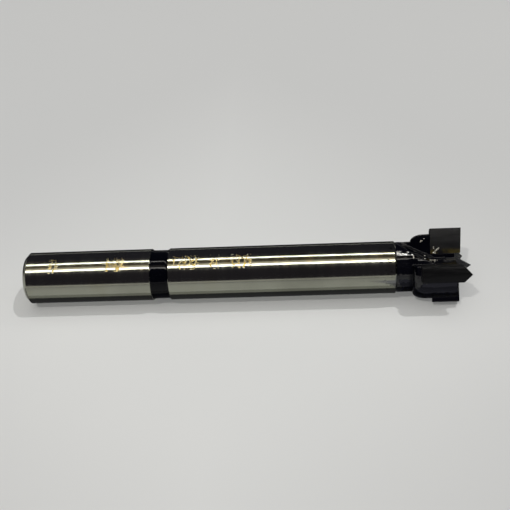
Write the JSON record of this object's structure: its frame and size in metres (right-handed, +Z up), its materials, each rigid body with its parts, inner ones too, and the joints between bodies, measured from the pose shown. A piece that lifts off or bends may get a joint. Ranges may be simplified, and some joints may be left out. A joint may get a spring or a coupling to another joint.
{
  "type": "carbide-tipped boring bit",
  "caption": "Boring bit with a long ground shank and a two-lobed head that holds brazed carbide wing cutters, scoring spurs and a centre point.",
  "frame": {"origin": "centre of the shank's end face, on the tool's axis", "axes": "+X along the axis from the shank's end to the centre point; +Z up, and +Y to the left when looking along +X. The bit is turned about its axis as it lies on a flat surface, on wing_cutter_b, spur_b and the back end of the shank; the shank's lowest line is z = -5 mm and the head's corners reach 0.16 mm lower"},
  "size_m": [0.0862, 0.0142, 0.0104],
  "materials": {
    "ground_steel": "cylindrically ground steel, fine rings round the axis",
    "black_lacquer": "thick glossy black lacquer with soft edges, on the head, the neck and in the ring groove",
    "carbide": "ground tungsten carbide, dark grey and matt, with a warm heat tint by the braze",
    "braze": "silver solder, pale brass, dulled by flux and lacquer"
  },
  "bodies": {
    "root": {"body": "ground_steel", "wing_cutter_a": "carbide", "wing_cutter_b": "carbide", "spur_a": "carbide", "spur_b": "carbide", "centre_point": "carbide", "braze_wing_a": "braze", "braze_wing_b": "braze", "braze_spur_a": "braze", "braze_spur_b": "braze", "braze_centre": "braze"}
  },
  "joints": []
}
